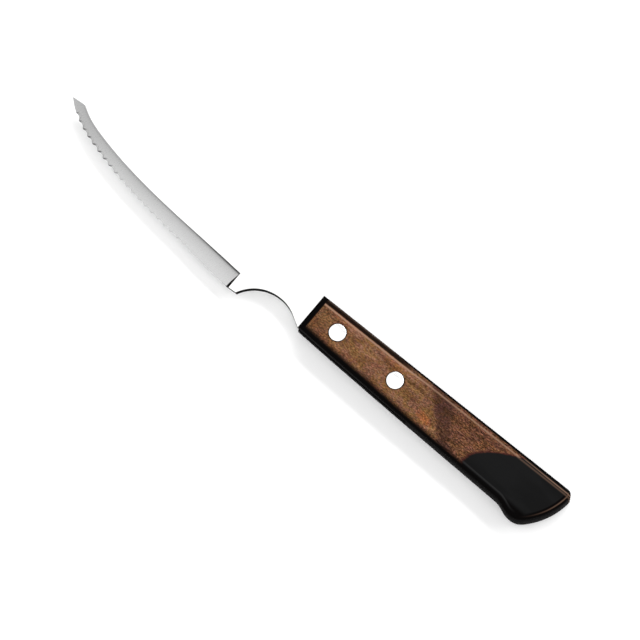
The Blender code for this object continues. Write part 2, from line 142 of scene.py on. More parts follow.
class HandleSettings(bpy.types.PropertyGroup):
    """Shape and finish of the wooden handle"""

    chamfer_width: FloatProperty(
        name="Chamfer Width", default=0.00185, unit="LENGTH",
        description="How far the chamfer reaches in over the broad face",
    )
    chamfer_drop: FloatProperty(
        name="Chamfer Drop", default=0.00095, unit="LENGTH",
        description="How far the chamfer reaches down the narrow side",
    )
    chamfer_crown: FloatProperty(
        name="Chamfer Crown", default=0.00010, unit="LENGTH",
        description="How far sanding has left the chamfer proud of a straight slope",
    )
    arris: FloatProperty(
        name="Arris", default=0.00022, unit="LENGTH",
        description="Size of the small rounding at each edge of the chamfer",
    )
    clearance: FloatProperty(
        name="Clearance", default=0.0003, unit="LENGTH",
        description="Gap between the wood and the rivets and tang inside it",
    )
    slot_end_clearance: FloatProperty(
        name="Slot End Clearance", default=0.0010, unit="LENGTH",
        description="Gap between the end of the tang and the end of its slot",
    )
    saw_radius: FloatProperty(
        name="Saw Radius", default=0.0450, unit="LENGTH",
        description="Radius of the saw that cut the slot",
    )
    light_wood: FloatVectorProperty(
        name="Light Wood", default=(0.186, 0.091, 0.046), subtype="COLOR",
        description="Colour of the wood between its fibres",
    )
    deep_wood: FloatVectorProperty(
        name="Deep Wood", default=(0.100, 0.043, 0.020), subtype="COLOR",
        description="Colour of the wood's darker growth",
    )
    red_wood: FloatVectorProperty(
        name="Red Wood", default=(0.175, 0.062, 0.030), subtype="COLOR",
        description="Colour of the wood's red patches",
    )
    rear_wood: FloatVectorProperty(
        name="Rear Wood", default=(0.0875, 0.0367, 0.0210), subtype="COLOR",
        description="Colour of the wood between its cloud and the butt",
    )
    cloud: FloatVectorProperty(
        name="Cloud", default=(0.0525, 0.0231, 0.0147), subtype="COLOR",
        description="Colour of the smoky band across the wood",
    )
    ember: FloatVectorProperty(
        name="Ember", default=(0.380, 0.105, 0.040), subtype="COLOR",
        description="Colour of the one bright spot beside the cloud",
    )
    # Painted highlight: the light catching the chamfer's edges, on top of the stain rubbed through
    # there
    worn_highlight: FloatVectorProperty(
        name="Worn", default=(0.260, 0.155, 0.105), subtype="COLOR",
        description="Colour of the arris where the stain is rubbed through",
    )
    black_resin: FloatVectorProperty(
        name="Black Resin", default=(0.0062, 0.0062, 0.0063), subtype="COLOR",
        description="Colour of the resin-soaked butt",
    )
    # Also the colour of the painted shade along the handle's lower edge
    black_stain_and_shade: FloatVectorProperty(
        name="Black Stain", default=(0.0022, 0.0019, 0.0019), subtype="COLOR",
        description="Colour of the stained edges",
    )
    fibres: FloatProperty(
        name="Fibres", default=3000.0,
        description="Wood fibres per metre across the grain",
    )


class RivetSettings(bpy.types.PropertyGroup):
    """Shape and finish of the two-part rivets"""

    head_thickness: FloatProperty(
        name="Head Thickness", default=0.0012, unit="LENGTH",
        description="Thickness of a rivet head",
    )
    edge_break: FloatProperty(
        name="Edge Break", default=0.00012, unit="LENGTH",
        description="Rounding of a rivet head's rim",
    )
    pin_diameter: FloatProperty(
        name="Pin Diameter", default=0.0022, unit="LENGTH",
        description="Diameter of the stud's pin",
    )
    pin_tip_break: FloatProperty(
        name="Pin Tip Break", default=0.0003, unit="LENGTH",
        description="Chamfer at the end of the pin",
    )
    barrel_diameter: FloatProperty(
        name="Barrel Diameter", default=0.0040, unit="LENGTH",
        description="Diameter of the sleeve's barrel",
    )
    segments: IntProperty(
        name="Segments", default=96,
        description="Sides of every turned surface",
    )
    metal_colour: FloatVectorProperty(
        name="Metal Colour", default=(0.97, 0.97, 0.97), subtype="COLOR",
        description="Colour of the rivet metal",
    )


class StudioSettings(bpy.types.PropertyGroup):
    """Camera, floor and lights"""

    azimuth: FloatProperty(
        name="Camera Azimuth", default=radians(39.49), subtype="ANGLE",
        description="How far the camera stands round the knife",
    )
    elevation: FloatProperty(
        name="Camera Elevation", default=radians(76.95), subtype="ANGLE",
        description="How high the camera stands above the horizon",
    )
    distance: FloatProperty(
        name="Camera Distance", default=3.0, unit="LENGTH",
        description="Distance from the camera to the knife",
    )
    lens: FloatProperty(
        name="Camera Lens", default=516.3,
        description="Focal length in millimetres",
    )
    floor_size: FloatProperty(
        name="Floor Size", default=8.0, unit="LENGTH",
        description="Side of the square floor",
    )
    floor_colour: FloatVectorProperty(
        name="Floor Colour", default=(0.93, 0.93, 0.93), subtype="COLOR",
        description="Colour of the pale floor",
    )
    softbox_length: FloatProperty(
        name="Softbox Length", default=2.4, unit="LENGTH",
        description="Length of the soft light, along the knife",
    )
    softbox_width: FloatProperty(
        name="Softbox Width", default=0.36, unit="LENGTH",
        description="Width of the soft light",
    )
    softbox_power: FloatProperty(
        name="Softbox Power", default=18.0, unit="POWER",
        description="Power of the soft light",
    )
    sky_strength: FloatProperty(
        name="Sky Strength", default=1.34,
        description="Strength of the even light from above and from the near side",
    )
    back_strength: FloatProperty(
        name="Back Strength", default=0.50,
        description="Strength of the even light from behind the spine",
    )


# Modelling helpers


def take_up(piece):
    """Makes piece the one selected and active object."""
    bpy.ops.object.select_all(action="DESELECT")
    piece.select_set(True)
    bpy.context.view_layer.objects.active = piece


def edit(piece, mode):
    """Opens piece in edit mode with vertices, edges or faces as what an operator picks."""
    take_up(piece)
    kinds = ("VERT", "EDGE", "FACE")
    bpy.context.tool_settings.mesh_select_mode = tuple(mode == kind for kind in kinds)
    bpy.ops.object.mode_set(mode="EDIT")


def close_edit():
    bpy.ops.object.mode_set(mode="OBJECT")


def edit_all(piece, mode):
    """Opens piece in edit mode with all of it selected."""
    edit(piece, mode)
    bpy.ops.mesh.select_all(action="SELECT")


def close_outwards():
    """Turns all faces of the open piece outwards and closes it."""
    bpy.ops.mesh.select_all(action="SELECT")
    bpy.ops.mesh.normals_make_consistent(inside=False)
    close_edit()


def pick(piece, mode, test):
    """Leaves only the vertices, edges or faces selected for which test says so."""
    mesh = piece.data
    for part in (*mesh.vertices, *mesh.edges, *mesh.polygons):
        part.select = False
    parts = {"VERT": mesh.vertices, "EDGE": mesh.edges, "FACE": mesh.polygons}[mode]
    chosen = [part for part in parts if test(part)]
    if not chosen:
        raise RuntimeError(f"{piece.name}: nothing to pick among its {mode.lower()} parts")
    for part in chosen:
        part.select = True
    edit(piece, mode)


def copy_of_node(node, name):
    """A merged copy of a solid's mesh as a new object, with no material."""
    piece = bpy.data.objects.new(name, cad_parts[node].data.copy())
    bpy.context.scene.collection.objects.link(piece)
    piece.data.name = name
    piece.data.materials.clear()
    edit_all(piece, "VERT")
    bpy.ops.mesh.remove_doubles(threshold=WELD)
    bpy.ops.mesh.dissolve_limited(angle_limit=LEVEL)
    close_edit()
    return piece


def named_primitive(name):
    piece = bpy.context.object
    piece.name = name
    piece.data.name = name
    return piece


def settle(piece, angle):
    """Puts the piece's place in its mesh, with faces outwards and smooth up to an angle."""
    take_up(piece)
    bpy.ops.object.transform_apply(location=True, rotation=True, scale=True)
    edit(piece, "FACE")
    close_outwards()
    bpy.ops.object.shade_smooth_by_angle(angle=angle)


def modify(piece, kind, **fields):
    """Applies one modifier to piece."""
    take_up(piece)
    bpy.ops.object.modifier_add(type=kind)
    modifier = piece.modifiers[-1]
    for field, value in fields.items():
        setattr(modifier, field, value)
    bpy.ops.object.modifier_apply(modifier=modifier.name)


def cut_with(piece, cutter):
    """Cuts one object out of another and throws the cutter away."""
    modify(piece, "BOOLEAN", operation="DIFFERENCE", solver="EXACT", object=cutter)
    bpy.data.objects.remove(cutter, do_unlink=True)


def draw_out(height):
    """Extrudes what is selected straight up, or down."""
    bpy.ops.mesh.extrude_region_move(TRANSFORM_OT_translate={"value": (0.0, 0.0, height)})


def add_round_cutter(radius, low, high, centre):
    """An upright cylinder round a centre, from one height to another."""
    place = (*centre.xy, (low + high) / 2.0)
    bpy.ops.mesh.primitive_cylinder_add(
        vertices=CUTTER_SIDES, radius=radius, depth=high - low, location=place
    )
    return bpy.context.object


def stands_for(piece, slot, *nodes):
    """Rides the finished piece on the knife's one body, in place of its solids."""
    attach(piece, "root")
    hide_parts(*nodes)


# Shader helpers


class NodeBench:
    """Short ways to place and wire shader nodes in one node tree."""

    def __init__(self, tree):
        self.tree = tree

    def node(self, kind, **fields):
        placed = self.tree.nodes.new(kind)
        for field, value in fields.items():
            setattr(placed, field, value)
        return placed

    def wire(self, source, target):
        """Joins a socket to a target, or writes a plain value there."""
        if isinstance(source, bpy.types.NodeSocket):
            self.tree.links.new(source, target)
        elif isinstance(target.default_value, (float, int)):
            target.default_value = source
        else:
            value = tuple(source)
            width = len(target.default_value)
            target.default_value = value + (1.0,) * (width - len(value))

    def maths(self, operation, *values):
        """Joins two or more values by one operation, from left to right."""
        result = values[0]
        for value in values[1:]:
            node = self.node("ShaderNodeMath", operation=operation)
            self.wire(result, node.inputs[0])
            self.wire(value, node.inputs[1])
            result = node.outputs[0]
        return result

    plus = partialmethod(maths, "ADD")
    minus = partialmethod(maths, "SUBTRACT")
    times = partialmethod(maths, "MULTIPLY")
    over = partialmethod(maths, "DIVIDE")
    most = partialmethod(maths, "MAXIMUM")
    least = partialmethod(maths, "MINIMUM")

    def curve(self, value, *factors):
        """a + b v + c v v and so on, for a value v and the factors a, b, c."""
        result = factors[-1]
        for factor in factors[-2::-1]:
            result = self.plus(factor, self.times(value, result))
        return result

    def apart(self, value, place):
        """How far a value lies from a place, to either side."""
        node = self.node("ShaderNodeMath", operation="ABSOLUTE")
        self.wire(self.minus(value, place), node.inputs[0])
        return node.outputs[0]

    def step(self, value, start, end, low=0.0, high=1.0):
        """A soft step from low at start to high at end."""
        node = self.node("ShaderNodeMapRange", interpolation_type="SMOOTHSTEP")
        for socket, number in zip(node.inputs[:5], (value, start, end, low, high)):
            self.wire(number, socket)
        return node.outputs[0]

    def fade(self, value, start, end, high=1.0):
        """A soft step from high at start to nothing at end."""
        return self.step(value, start, end, high, 0.0)

    def blend(self, share, below, above, mode="MIX"):
        node = self.node("ShaderNodeMix", data_type="RGBA", blend_type=mode)
        self.wire(share, node.inputs["Factor"])
        self.wire(below, node.inputs[6])
        self.wire(above, node.inputs[7])
        return node.outputs[2]

    def vector(self, operation, first, second):
        node = self.node("ShaderNodeVectorMath", operation=operation)
        self.wire(first, node.inputs[0])
        self.wire(second, node.inputs["Scale" if operation == "SCALE" else 1])
        return node.outputs["Value" if operation == "DOT_PRODUCT" else 0]

    def noise(self, place, scale, detail=2.0, roughness=0.5, distortion=0.0):
        """Noise with one number of cells per metre, or with one for each axis."""
        if isinstance(scale, tuple):
            place = self.vector("MULTIPLY", place, scale)
            scale = 1.0
        node = self.node("ShaderNodeTexNoise")
        values = (place, scale, detail, roughness, distortion)
        for socket, value in zip(("Vector", "Scale", "Detail", "Roughness", "Distortion"), values):
            self.wire(value, node.inputs[socket])
        return node.outputs["Fac"]

    def split(self, vector):
        node = self.node("ShaderNodeSeparateXYZ")
        self.wire(vector, node.inputs[0])
        return node.outputs

    def group(self, name, **inputs):
        node = self.node("ShaderNodeGroup", node_tree=bpy.data.node_groups[name])
        for socket, value in inputs.items():
            self.wire(value, node.inputs[socket])
        return node.outputs

    def bump(self, height, distance):
        node = self.node("ShaderNodeBump")
        self.wire(height, node.inputs["Height"])
        self.wire(distance, node.inputs["Distance"])
        return node.outputs[0]


def new_group(name, inputs, outputs):
    """An empty shader node group with named sockets, as (bench, inputs, output node)."""
    tree = bpy.data.node_groups.new(name, "ShaderNodeTree")
    for sockets, side in ((inputs, "INPUT"), (outputs, "OUTPUT")):
        for socket, kind in sockets.items():
            tree.interface.new_socket(name=socket, in_out=side, socket_type=kind)
    bench = NodeBench(tree)
    entry = bench.node("NodeGroupInput")
    leaving = bench.node("NodeGroupOutput")
    return bench, entry.outputs, leaving.inputs


def new_material(name):
    """A material with one Principled shader, as (material, bench, shader inputs)."""
    material = bpy.data.materials.new(name)
    material.use_nodes = True
    bench = NodeBench(material.node_tree)
    shader = material.node_tree.nodes["Principled BSDF"]
    return material, bench, shader.inputs


FLOAT, VECTOR = "NodeSocketFloat", "NodeSocketVector"


def drawn_lines_group():
    """Fine lines drawn along X, such as polishing lines and wood fibres."""
    name = "drawn_lines"
    if name in bpy.data.node_groups:
        return name
    inputs = {"Place": VECTOR, "Lines": FLOAT, "Stretch": FLOAT, "Waver": FLOAT}
    bench, given, made = new_group(name, inputs, {"Line": FLOAT})
    sway = bench.noise(given["Place"], 120.0, detail=1.0)
    x, y, z = bench.split(given["Place"])
    joined = bench.node("ShaderNodeCombineXYZ")
    bench.wire(bench.over(x, given["Stretch"]), joined.inputs[0])
    bench.wire(bench.plus(y, bench.times(bench.minus(sway, 0.5), given["Waver"])), joined.inputs[1])
    bench.wire(z, joined.inputs[2])
    line = bench.noise(joined.outputs[0], given["Lines"], detail=2.0, roughness=0.6)
    bench.wire(line, made["Line"])
    return name


def handling_marks_group():
    """Faint smudges and specks that handling leaves, as a share from 0 to 1."""
    name = "handling_marks"
    if name in bpy.data.node_groups:
        return name
    inputs = {"Place": VECTOR, "Size": FLOAT}
    bench, given, made = new_group(name, inputs, {"Smudge": FLOAT, "Speck": FLOAT})
    scale = bench.over(1.0, given["Size"])
    smudge = bench.noise(given["Place"], scale, detail=3.0, roughness=0.55, distortion=0.6)
    bench.wire(bench.step(smudge, 0.42, 0.68), made["Smudge"])
    speck = bench.noise(given["Place"], bench.times(scale, 14.0), detail=1.0)
    bench.wire(bench.step(speck, 0.68, 0.76), made["Speck"])
    return name


def lines_along(bench, place, count, stretch, waver):
    """Lines along X, with their number per metre, their length over their width and their waver."""
    inputs = {"Place": place, "Lines": count, "Stretch": stretch, "Waver": waver}
    return bench.group(drawn_lines_group(), **inputs)["Line"]


def smudged_metal(name, colour, dulling, size):
    """Bare metal whose colour smudges duller, as (material, bench, shader inputs, place, smudge)."""
    material, bench, shader = new_material(name)
    place = bench.node("ShaderNodeTexCoord").outputs["Object"]
    smudge = bench.group(handling_marks_group(), Place=place, Size=size)["Smudge"]
    dulled = [dulling * channel for channel in colour]
    bench.wire(bench.blend(smudge, colour, dulled), shader["Base Color"])
    shader["Metallic"].default_value = 1.0
    return material, bench, shader, place, smudge


def brush(bench, shader, lines):
    """Lets fine lines vary the gloss and relief of a metal."""
    bench.wire(bench.step(lines, 0.3, 0.7, 0.24, 0.34), shader["Roughness"])
    bench.wire(bench.bump(lines, 0.000002), shader["Normal"])


# Blade

# Stretch behind the tip where the bevel's painted reflection is less bright
TIP_RUN = (-0.1010, -0.0700)

# The least upward or downward share of a face's normal on a flat, beside a rounded rim, on a bevel
# and in a scallop, and the most on an upright wall
FLAT_TILT, LEVEL_TILT, BEVEL_TILT, SCALLOP_TILT, WALL_TILT = 0.9999, 0.999, 0.94, 0.6, 0.05

# Share of the half stock within which the cutting edge lies
EDGE_SHARE = 0.3

# Bands of the painted shade along the grind line, each as the depths where it is full and gone, the
# stretch along the blade where it grows, and its weakest and strongest share
GRIND_LINE_SHADE_BANDS = (
    (0.03, 0.13, -0.0950, -0.0180, 0.0, 0.85),
    (0.04, 0.34, -0.0600, -0.0300, 0.14, 0.34),
    (0.07, 0.20, -0.0460, -0.0260, 0.0, 0.62),
)


def flat_steel(settings):
    """Polished flats, with fine lines along the blade."""
    colour = settings.flat_colour
    material, bench, shader, place, smudge = smudged_metal("flat_steel", colour, 0.93, 0.016)
    lines = lines_along(bench, place, settings.polish_lines, 60.0, 0.0002)
    roughness = bench.step(lines, 0.3, 0.7, 0.17, 0.27)
    bench.wire(bench.plus(roughness, bench.times(smudge, 0.05)), shader["Roughness"])
    bench.wire(bench.bump(lines, 0.0000015), shader["Normal"])
    return material


def ground_steel(settings):
    """Hollow-ground bevels, with grinding lines square to the edge, and painted reflection and shade:
    lighter towards the cutting edge, darker along the grind line, at the tip and on the scallops'
    sides.
    """
    material, bench, shader = new_material("ground_steel")
    step, times, minus = bench.step, bench.times, bench.minus
    coordinates = bench.node("ShaderNodeTexCoord").outputs
    place = coordinates["Object"]
    turned = bench.node("ShaderNodeMapping")
    bench.wire(place, turned.inputs["Vector"])
    turned.inputs["Rotation"].default_value = (0.0, 0.0, radians(-72.0))
    lines = lines_along(bench, turned.outputs[0], settings.polish_lines, 30.0, 0.0001)
    speck = bench.group(handling_marks_group(), Place=place, Size=0.010)["Speck"]
    x, y, z = bench.split(place)

    # How deep the wheel has gone: 0 at the grind line, nearly 1 at the cutting edge
    depth = minus(1.0, bench.over(bench.apart(z, MIDDLE_HEIGHT), HALF_STOCK))
    # Painted reflection: the bevel is painted lighter with depth, towards the cutting edge, and less so
    # near the tip
    gain = step(x, *TIP_RUN, settings.edge_gain * 0.25, settings.edge_gain)
    bright = bench.plus(1.0, times(depth, gain))
    shade = times(step(lines, 0.25, 0.75, 0.96, 1.0), step(speck, 0.0, 1.0, 1.0, 1.05))

    # Painted shade: a dark line along the grind line, strongest near the handle
    below_spine = bench.fade(y, 0.0072, 0.0084)
    for full, gone, start, end, weakest, strongest in GRIND_LINE_SHADE_BANDS:
        strength = step(x, start, end, weakest, strongest)
        grind_line_shade = times(bench.fade(depth, full, gone), below_spine)
        shade = times(shade, minus(1.0, times(grind_line_shade, strength)))
    # Painted shade: the bevel a little darker towards the tip
    shade = times(shade, step(x, -0.0720, -0.0560, 0.95, 1.0))

    # Painted shade on the steep sides of the scallops, most of all behind each tooth, fading out
    # towards the heel
    along, _, upwards = bench.split(coordinates["Normal"])
    steep = step(bench.apart(upwards, 0.0), 0.93, 0.84)
    scallop_shade_reach = step(x, -0.0850, -0.0720, 0.95, 0.20)
    scallop_shade = times(steep, scallop_shade_reach, step(along, 0.02, 0.18, 0.35, 1.0))
    shade = times(shade, minus(1.0, scallop_shade))
    colour = bench.vector("SCALE", settings.ground_colour, times(bright, shade))
    bench.wire(colour, shader["Base Color"])
    shader["Metallic"].default_value = 1.0
    brush(bench, shader, lines)
    return material


def stamped_shaded_steel(settings):
    """Stamped and tumbled outline, plunge and tang edge: matt, and painted near-black for the dark
    surroundings they reflect.
    """
    colour = settings.stamped_shaded_colour
    material, bench, shader, _, smudge = smudged_metal("stamped_shaded_steel", colour, 0.6, 0.002)
    shader["Specular Tint"].default_value = (0.04, 0.04, 0.04, 1.0)
    bench.wire(bench.step(smudge, 0.0, 1.0, 0.30, 0.42), shader["Roughness"])
    bench.wire(bench.bump(smudge, 0.000004), shader["Normal"])
    return material


class KNIFE_OT_add_blade(bpy.types.Operator):
    """Adds the polished, hollow-ground and scalloped blade in place of its solid"""

    bl_idname = "knife.add_blade"
    bl_label = "Add Blade"

    def execute(self, context):
        settings = context.scene.knife_blade
        blade = copy_of_node("blade", "ground_blade")
        self.break_edges(blade, settings)
        settle(blade, settings.smooth_angle)
        self.finish_surfaces(blade, settings)
        stands_for(blade, "blade_steel", "blade")
        return {"FINISHED"}

    def break_edges(self, blade, settings):
        """Rounds the rims where the full-thickness flats meet the stamped outline."""
        roll = settings.die_roll
        flat_edges = set()
        widths = {}
        for face in blade.data.polygons:
            if abs(face.normal.z) > LEVEL_TILT:
                flat_edges.update(face.edge_keys)
            elif abs(face.normal.z) < WALL_TILT:
                width = self.rim_width(face, settings)
                widths.update({key: width for key in face.edge_keys})
        weights = blade.data.attributes.new("bevel_weight_edge", "FLOAT", "EDGE")
        for edge in blade.data.edges:
            if edge.key in flat_edges and edge.key in widths:
                weights.data[edge.index].value = widths[edge.key] / roll
        modify(blade, "BEVEL", limit_method="WEIGHT", width=roll, segments=3, use_clamp_overlap=False)

    def rim_width(self, wall, settings):
        """The die roll's full width in the choil, which fades towards the neck, or the edge break."""
        ricasso = wall.center.x < BLADE_LOW.x * RICASSO_SHARE
        if wall.normal.y > CHOIL_FACING or ricasso:
            return settings.edge_break
        start, end = (BLADE_LOW.x * share for share in ROLL_FADE)
        fade = min(max((wall.center.x - start) / (end - start), 0.0), 1.0)
        return settings.die_roll + fade * (settings.edge_break - settings.die_roll)

    def finish_surfaces(self, blade, settings):
        """Gives flats, bevels and stamped edge their own finish."""
        mesh = blade.data
        for make in (flat_steel, ground_steel, stamped_shaded_steel):
            mesh.materials.append(make(settings))
        for face in mesh.polygons:
            x, y, z = face.center
            tilt = abs(face.normal.z)
            ahead = x < BLADE_LOW.x * GRIND_SHARE
            ground = x < BLADE_LOW.x * PLUNGE_SHARE and tilt > BEVEL_TILT
            thin = abs(z - MIDDLE_HEIGHT) < HALF_STOCK * EDGE_SHARE
            spine = x < 0.0 and y > SPINE_FOOT and face.normal.y > SPINE_FACING
            if tilt > FLAT_TILT:
                face.material_index = 0
            elif ground or spine or (ahead and (tilt > SCALLOP_TILT or thin)):
                face.material_index = 1
            else:
                face.material_index = 2


# Handle

# The rim value of the narrow sides
SIDE_VALUE = 2.2

# Where a line turns by less than the first angle it is straight, and by more than the second one
# it is a corner; surfaces that meet at less than the third one are shaded as one
STRAIGHT, CORNER, SMOOTH = radians(0.4), radians(35.0), radians(38.0)

# Cells per metre of the wood's noises: along the grain, across it and through the handle
MOTTLE_CELLS = (140.0, 420.0, 420.0)
PATCH_CELLS = (55.0, 120.0, 120.0)
HUE_CELLS = (300.0, 420.0, 420.0)
WARMTH_CELLS = (1300.0, 2300.0, 2300.0)
FLECK_CELLS = (1180.0, 2800.0, 2800.0)
STREAK_CELLS = (240.0, 1350.0, 1350.0)

# Tints between which the wood varies: olive and plum in patches, cool and warm in specks
OLIVE, PLUM = (0.985, 1.01, 0.80), (1.02, 0.985, 1.22)
COOL, WARM = (0.90, 1.05, 1.05), (1.09, 0.99, 0.96)

# The cloud's two slanting borders and the run of each, and where the deeper wood starts
CLOUD_FRONT, CLOUD_BACK = (1.0, 1.02, 0.0), (1.0, 0.55, 0.0)
CLOUD_START, CLOUD_END = (0.0536, 0.0568), (0.0606, 0.0640)
REAR_WOOD_START = (0.0540, 0.0568)

# The ember's length and width, each as its direction, its place along that and its half size
EMBER_SPAN = (((0.98, -0.20, 0.0), 0.0517, 0.0027), ((0.20, 0.98, 0.0), 0.0078, 0.0011))

# The butt's border as x = a + b h + c h h, where h is the height in Y above its crest
BUTT_BORDER = (0.0762, 1.364, 93.5)
BUTT_CREST = 0.0023

# How far the wood's mottle shifts the borders of the cloud and of the butt
CLOUD_RAGGEDNESS = 0.006
BORDER_RAGGEDNESS = 0.0016

# Stretches along the handle where the wood turns calmer, where the front's dark rim ends, where
# the wood turns lively again behind the cloud, and where the butt ends
CALM_START = (0.0110, 0.0180)
DARK_RIM_END = (0.034, 0.048)
BEHIND_CLOUD = (0.0520, 0.0640)
BUTT_END = (0.0900, 0.0990)

# Colours of the butt's fringe, of the painted highlight on the rubbed front rim and of the sheen under
# the butt
FRINGE = (0.038, 0.010, 0.009)
RUBBED_HIGHLIGHT = (0.044, 0.029, 0.022)
SHEEN = (0.018, 0.018, 0.018)


def rim_depth(settings):
    """How far the rim reaches down from each broad face."""
    return settings.chamfer_drop + settings.arris


def rim_profile(settings):
    """The handle's rim as (distance in from the outline, drop under the broad face, rim value).

    The rim value is 2.2 on the narrow side, 2 to 1 across the chamfer and 0 on the broad face.
    The last ring stays inside the rounded corner of the butt, where it would cross itself.
    """
    width = settings.chamfer_width
    drop = settings.chamfer_drop
    profile = [(0.0, rim_depth(settings), SIDE_VALUE)]
    for share in (0.09, 0.32, 0.60, 0.86):
        crown = settings.chamfer_crown * 4.0 * share * (1.0 - share)
        profile.append((width * share, drop * (1.0 - share) - crown, 2.0 - share))
    profile.append((width - settings.arris * 0.2, 0.08 * settings.arris, 1.0))
    profile.append((width + settings.arris * 0.3, 0.0, 0.85))
    profile.append((width + settings.arris * 0.75, 0.0, 0.0))
    return profile


def treated_wood(settings):
    """Resin-treated wood: brown and fibrous, black at the butt and round the edges, with painted shade
    along the lower edge and painted highlights along the chamfer's edges.
    """
    material, bench, shader = new_material("treated_wood")
    step, fade, blend, noise, apart = bench.step, bench.fade, bench.blend, bench.noise, bench.apart
    over, plus, minus, times, most = bench.over, bench.plus, bench.minus, bench.times, bench.most
    coordinates = bench.node("ShaderNodeTexCoord").outputs
    place = coordinates["Object"]
    rim = bench.node("ShaderNodeAttribute", attribute_name="rim").outputs["Fac"]
    x, y, _ = bench.split(place)
    fibre = lines_along(bench, place, settings.fibres, 1.7, 0.0012)
    vessel = lines_along(bench, place, settings.fibres * 0.45, 3.5, 0.0008)
    mottle = noise(place, MOTTLE_CELLS, 3.0, 0.6, 0.4)
    patch = noise(place, PATCH_CELLS, 2.0, 0.5, 0.8)
    ragged = minus(mottle, 0.5)

    light = step(mottle, 0.30, 0.70, 0.16, 0.97)
    wood = blend(light, settings.deep_wood, settings.light_wood)
    wood = blend(step(patch, 0.46, 0.66, 0.0, 0.58), wood, settings.red_wood)

    # Smoky band across the middle, with deeper wood behind it and one ember-coloured spot before it
    wobble = times(ragged, CLOUD_RAGGEDNESS)
    start = plus(bench.vector("DOT_PRODUCT", place, CLOUD_FRONT), wobble)
    end = plus(bench.vector("DOT_PRODUCT", place, CLOUD_BACK), wobble)
    wood = blend(step(start, *REAR_WOOD_START, 0.0, 0.80), wood, settings.rear_wood)
    cloud = bench.least(step(start, *CLOUD_START), fade(end, *CLOUD_END))
    wood = blend(times(cloud, 0.92), wood, settings.cloud)
    ember = times(fibre, 1.6)
    for direction, centre, reach in EMBER_SPAN:
        away = minus(bench.vector("DOT_PRODUCT", place, direction), centre)
        ember = plus(ember, bench.maths("POWER", over(away, reach), 2.0))
    wood = blend(fade(ember, 0.6, 3.6, 0.42), wood, settings.ember)

    # Specks of warm and cool, and patches of olive and plum
    warmth = noise(place, WARMTH_CELLS, 1.0)
    tint = blend(step(warmth, 0.35, 0.65), COOL, WARM)
    hue = noise(place, HUE_CELLS, 2.0, 0.6, 0.5)
    hue = blend(step(hue, 0.38, 0.62), OLIVE, PLUM)
    front_hue = step(x, 0.0080, 0.0180, 0.5, 1.0)
    hue_share = bench.least(front_hue, step(x, 0.0520, 0.0620, 1.0, 0.75))
    tint = blend(hue_share, tint, hue, "MULTIPLY")

    # Light and dark of the fibres, flecks and streaks, which are fainter where the wood is calm
    fleck = noise(place, FLECK_CELLS, 0.0)
    grain = step(fibre, 0.30, 0.70, 0.60, 1.40)
    grain = times(grain, step(fleck, 0.28, 0.72, 0.55, 1.47))
    streak = noise(place, STREAK_CELLS, 1.0, 0.5, 1.2)
    contrast = step(x, 0.0500, 0.0640, 0.14, 0.70)
    streak = times(minus(step(streak, 0.32, 0.68), 0.5), contrast)
    grain = times(grain, plus(1.0, streak))
    calm = most(step(x, *CALM_START, 1.05, 0.76), step(x, *BEHIND_CLOUD, 0.76, 1.05))
    mean = step(x, 0.0360, 0.0440, 1.0, 0.88)
    grain = plus(times(minus(grain, 1.0), calm), mean)
    grain = times(grain, step(x, 0.0040, 0.0130, 0.72, 1.0))
    wood = bench.vector("SCALE", bench.vector("MULTIPLY", wood, tint), grain)
    wood = blend(step(vessel, 0.56, 0.68, 0.0, 0.60), wood, settings.cloud)

    # Black butt with a slanting, curved border and a maroon fringe
    border = bench.curve(minus(y, BUTT_CREST), *BUTT_BORDER)
    beyond = plus(minus(x, border), times(ragged, BORDER_RAGGEDNESS))
    wood = blend(step(beyond, -0.0014, 0.0000, 0.0, 0.8), wood, FRINGE)
    butt = step(beyond, -0.0003, 0.0006)
    resin_light = [1.25 * channel for channel in settings.black_resin]
    resin = blend(step(patch, 0.35, 0.65), settings.black_resin, resin_light)
    wood = blend(butt, wood, resin)

    # Distance in from the upper and the lower outline, in chamfer widths
    from_top = over(minus(bench.curve(x, *UPPER_LINE), y), settings.chamfer_width)
    from_bottom = over(minus(y, bench.curve(x, *LOWER_LINE)), settings.chamfer_width)

    # Stained edges: the front, the lower chamfer, the outside of the upper chamfer and the sides; along
    # the lower edge the dark is partly painted shade, fading up over the chamfer into the broad face
    front = fade(minus(x, HANDLE_LOW.x), 0.00195, 0.00225)
    upper = times(fade(from_top, 0.92, 1.08), fade(x, *DARK_RIM_END, 0.95))
    outside = minus(from_top, step(x, 0.0450, 0.0900, 0.0, 0.10))
    # Painted shade: the lower edge's dark reaches past its chamfer and fades softly into the face
    dark_reach = step(x, 0.0300, 0.0450, 0.50, 0.35)
    pale_reach = step(x, 0.0300, 0.0600, 1.90, 1.30)
    lower = fade(from_bottom, dark_reach, pale_reach)
    rear_end = step(bench.split(coordinates["Normal"])[0], 0.15, 0.35)
    black_edge = times(butt, rear_end, step(rim, 0.95, 1.05))
    side = step(rim, 1.95, 2.05)
    stain = most(front, upper, fade(outside, 0.30, 0.52), lower, side, black_edge)
    wood = blend(stain, wood, settings.black_stain_and_shade)
    behind_front = minus(1.0, front)
    # Painted highlight along the outer edge of the upper chamfer at the front, where the stain is also
    # rubbed
    rubbed = times(fade(from_top, 0.22, 0.42), fade(x, 0.028, 0.038), behind_front)
    rubbed = times(rubbed, fade(rim, 1.90, 2.00))
    wood = blend(rubbed, wood, RUBBED_HIGHLIGHT)

